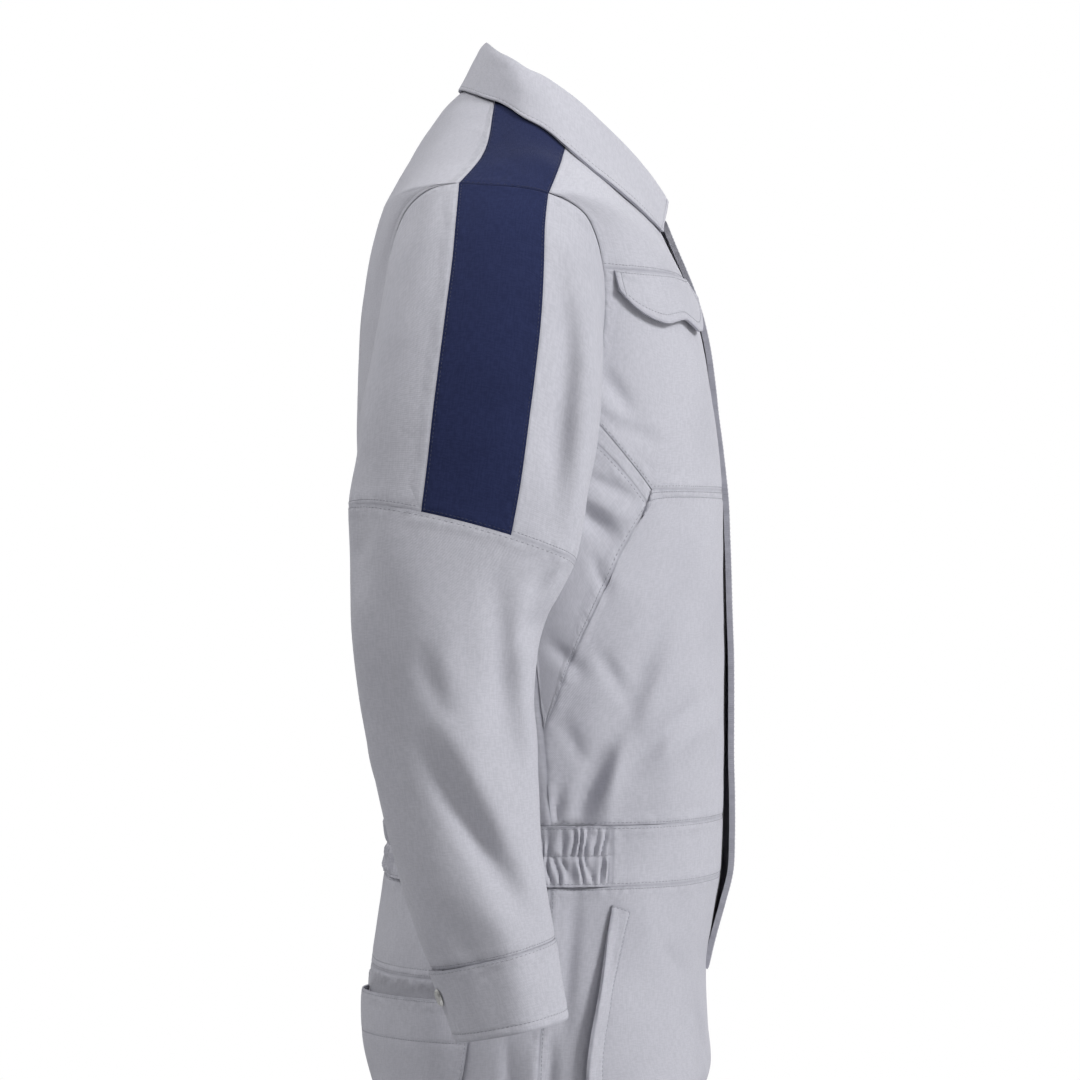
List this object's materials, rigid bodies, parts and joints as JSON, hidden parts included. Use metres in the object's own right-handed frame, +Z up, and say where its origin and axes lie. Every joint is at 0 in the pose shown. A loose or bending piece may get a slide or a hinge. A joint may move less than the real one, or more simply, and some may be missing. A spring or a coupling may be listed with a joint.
{
  "type": "boiler suit",
  "caption": "Long-sleeved work coverall with turned-down collar, zip front under a placket, elastic waist, flap pockets and contrast shoulder and sleeve stripes, filled out as worn.",
  "frame": {"origin": "midway between the two points where the shoulder seams meet the neck, where the wearer's shoulders carry the suit", "axes": "+Z up, -Y to the wearer's front, +X to the wearer's left"},
  "size_m": [0.6764, 0.2795, 1.5918],
  "materials": {
    "grey_twill": "matt twill",
    "navy_twill": "matt twill",
    "zip_tape": "matt tape",
    "metal": "satin"
  },
  "bodies": {
    "root": {"front_yoke_right": "grey_twill", "chest_right": "grey_twill", "chest_welt_right": "grey_twill", "side_front_right": "grey_twill", "lower_front_right": "grey_twill", "upper_sleeve_front_right": "grey_twill", "upper_sleeve_back_right": "grey_twill", "lower_sleeve_right": "grey_twill", "cuff_right": "grey_twill", "chest_flap_right": "grey_twill", "leg_front_right": "grey_twill", "seat_yoke_right": "grey_twill", "leg_back_right": "grey_twill", "hip_welt_right": "grey_twill", "back_pocket_right": "grey_twill", "waistband_front_right": "grey_twill", "shoulder_panel_right": "navy_twill", "sleeve_stripe_right": "navy_twill", "cuff_snap_right": "metal", "front_yoke_left": "grey_twill", "chest_left": "grey_twill", "chest_welt_left": "grey_twill", "side_front_left": "grey_twill", "lower_front_left": "grey_twill", "upper_sleeve_front_left": "grey_twill", "upper_sleeve_back_left": "grey_twill", "lower_sleeve_left": "grey_twill", "cuff_left": "grey_twill", "chest_flap_left": "grey_twill", "leg_front_left": "grey_twill", "seat_yoke_left": "grey_twill", "leg_back_left": "grey_twill", "hip_welt_left": "grey_twill", "back_pocket_left": "grey_twill", "waistband_front_left": "grey_twill", "shoulder_panel_left": "navy_twill", "sleeve_stripe_left": "navy_twill", "cuff_snap_left": "metal", "back": "grey_twill", "waistband_elastic": "grey_twill", "collar": "grey_twill", "front_placket": "grey_twill", "zip_tape": "zip_tape", "zip_slider": "metal"}
  },
  "joints": []
}
